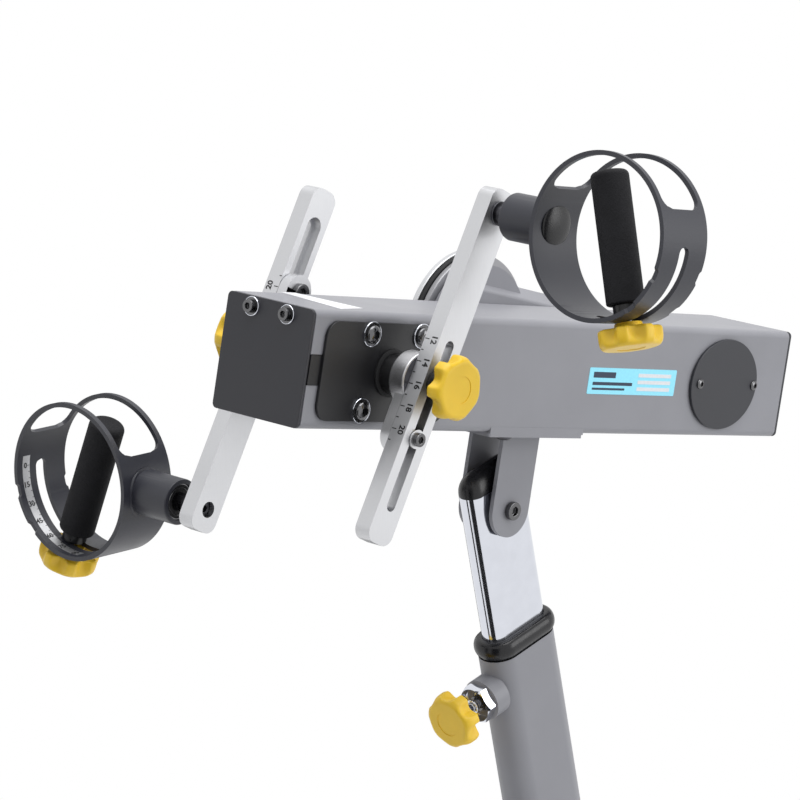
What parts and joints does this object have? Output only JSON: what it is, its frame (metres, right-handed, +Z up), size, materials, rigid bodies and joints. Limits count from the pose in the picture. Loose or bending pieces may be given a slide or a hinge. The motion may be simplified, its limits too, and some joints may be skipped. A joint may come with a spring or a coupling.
{
  "type": "arm ergometer",
  "caption": "Free-standing arm ergometer: tilting drive head on a leaning telescopic mast, hand crank with length-adjustable arms and swivelling ring handles.",
  "frame": {"origin": "on the floor, at the middle of the bounding box seen from above", "axes": "+Z up, +X away from the user along the head, -Y the side called near"},
  "size_m": [0.7434, 0.6064, 1.3274],
  "materials": {
    "grey_paint": "satin powder coat",
    "dark_plate": "satin powder coat",
    "slate_paint": "fine powder coat",
    "satin_aluminium": "brushed and clear anodised",
    "chrome": "bright chrome plate",
    "steel": "machined steel",
    "yellow_plastic": "moulded plastic",
    "foam": "soft foam grip",
    "black_plastic": "moulded plastic",
    "rubber": "moulded rubber"
  },
  "bodies": {
    "stand": {"floor_beam": "grey_paint", "stabiliser_front": "grey_paint", "stabiliser_rear": "grey_paint", "stand_foot_1": "rubber", "stand_foot_2": "rubber", "stand_foot_3": "rubber", "stand_foot_4": "rubber", "mast_outer_tube": "grey_paint", "mast_collar": "black_plastic", "plunger_housing": "chrome", "plunger_spring": "steel"},
    "plunger": {"plunger_pin": "steel", "plunger_knob": "yellow_plastic"},
    "mast": {"mast_inner_tube": "chrome", "mast_cap": "black_plastic"},
    "head": {"head_shell": "grey_paint", "end_plate_front": "dark_plate", "end_plate_rear": "dark_plate", "bearing_plate_near": "dark_plate", "bearing_plate_far": "dark_plate", "crank_bearing_near": "steel", "crank_bearing_far": "steel", "oval_cover": "dark_plate", "clevis_bracket": "grey_paint", "bracket_bolt": "black_plastic", "pivot_bolt": "steel", "pivot_nut": "steel", "drive_belt": "rubber", "second_belt": "rubber", "lay_shaft_bridge": "steel", "rotor_bearing": "steel", "brake_housing": "grey_paint", "brake_front_shell": "satin_aluminium", "brake_spacer": "black_plastic", "brake_back_shell": "satin_aluminium", "magnet_ring": "steel"},
    "crank": {"crank_axle": "steel", "drive_pulley": "black_plastic", "carrier_near": "satin_aluminium", "carrier_far": "satin_aluminium"},
    "lay": {"lay_shaft": "steel"},
    "rotor": {"brake_rotor": "steel"},
    "arm_near": {"crank_arm_near": "satin_aluminium", "ring_spindle_near": "steel"},
    "clamp_near": {"arm_knob_near": "yellow_plastic"},
    "handle_near": {"ring_near": "slate_paint", "ring_bearings_near": "steel", "ring_plug_near": "black_plastic"},
    "grip_near": {"grip_core_near": "steel", "grip_foam_near": "foam"},
    "lock_near": {"grip_knob_near": "yellow_plastic"},
    "arm_far": {"crank_arm_far": "satin_aluminium", "ring_spindle_far": "steel"},
    "clamp_far": {"arm_knob_far": "yellow_plastic"},
    "handle_far": {"ring_far": "slate_paint", "ring_bearings_far": "steel", "ring_plug_far": "black_plastic"},
    "grip_far": {"grip_core_far": "steel", "grip_foam_far": "foam"},
    "lock_far": {"grip_knob_far": "yellow_plastic"}
  },
  "joints": [
    {"name": "mast_slide", "type": "slide", "parent": "stand", "child": "mast", "axis": [-0.225, 0, 0.9744], "range_m": [-0.035, 0.14]},
    {"name": "plunger_pull", "type": "slide", "parent": "stand", "child": "plunger", "axis": [-0.9744, 0, -0.225], "range_m": [0, 0.008], "stiffness_N_per_m": 1200, "springref_m": -0.006},
    {"name": "head_tilt", "type": "hinge", "parent": "mast", "child": "head", "pos_m": [-0.07042, 0, 0.95], "axis": [0, 1, 0], "range_deg": [-20, 20]},
    {"name": "crank_spin", "type": "hinge", "parent": "head", "child": "crank", "pos_m": [-0.26176, 0, 1.12085], "axis": [0, 1, 0], "continuous": true},
    {"name": "lay_spin", "type": "hinge", "parent": "head", "child": "lay", "pos_m": [0.18889, 0, 1.0191], "axis": [0, 1, 0], "continuous": true},
    {"name": "rotor_spin", "type": "hinge", "parent": "head", "child": "rotor", "pos_m": [-0.02686, 0, 1.08987], "axis": [0, 1, 0], "continuous": true},
    {"name": "arm_near_slide", "type": "slide", "parent": "crank", "child": "arm_near", "axis": [0.506, 0, 0.8625], "range_m": [-0.033, 0.047]},
    {"name": "clamp_near_turn", "type": "hinge", "parent": "crank", "child": "clamp_near", "pos_m": [-0.26176, 0, 1.12085], "axis": [0, -1, 0], "range_deg": [0, 360]},
    {"name": "handle_near_spin", "type": "hinge", "parent": "arm_near", "child": "handle_near", "pos_m": [-0.18434, 0, 1.25282], "axis": [0, 1, 0], "continuous": true},
    {"name": "grip_near_swivel", "type": "hinge", "parent": "handle_near", "child": "grip_near", "pos_m": [-0.18434, -0.233, 1.25282], "axis": [0.9778, 0, -0.2096], "range_deg": [-68, 20]},
    {"name": "lock_near_turn", "type": "hinge", "parent": "grip_near", "child": "lock_near", "pos_m": [-0.18434, -0.233, 1.25282], "axis": [-0.197, -0.342, -0.9188], "range_deg": [0, 360]},
    {"name": "arm_far_slide", "type": "slide", "parent": "crank", "child": "arm_far", "axis": [-0.506, 0, -0.8625], "range_m": [-0.033, 0.047]},
    {"name": "clamp_far_turn", "type": "hinge", "parent": "crank", "child": "clamp_far", "pos_m": [-0.26176, 0, 1.12085], "axis": [0, 1, 0], "range_deg": [0, 360]},
    {"name": "handle_far_spin", "type": "hinge", "parent": "arm_far", "child": "handle_far", "pos_m": [-0.33918, 0, 0.98889], "axis": [0, 1, 0], "continuous": true},
    {"name": "grip_far_swivel", "type": "hinge", "parent": "handle_far", "child": "grip_far", "pos_m": [-0.33918, 0.233, 0.98889], "axis": [-0.999, 0, 0.0454], "range_deg": [-68, 20]},
    {"name": "lock_far_turn", "type": "hinge", "parent": "grip_far", "child": "lock_far", "pos_m": [-0.33918, 0.233, 0.98889], "axis": [-0.0426, 0.342, -0.9387], "range_deg": [0, 360]}
  ],
  "couplings": [
    {"joint": "lay_spin", "follows": "crank_spin", "ratio": 2.8571},
    {"joint": "rotor_spin", "follows": "crank_spin", "ratio": 9.0476}
  ]
}
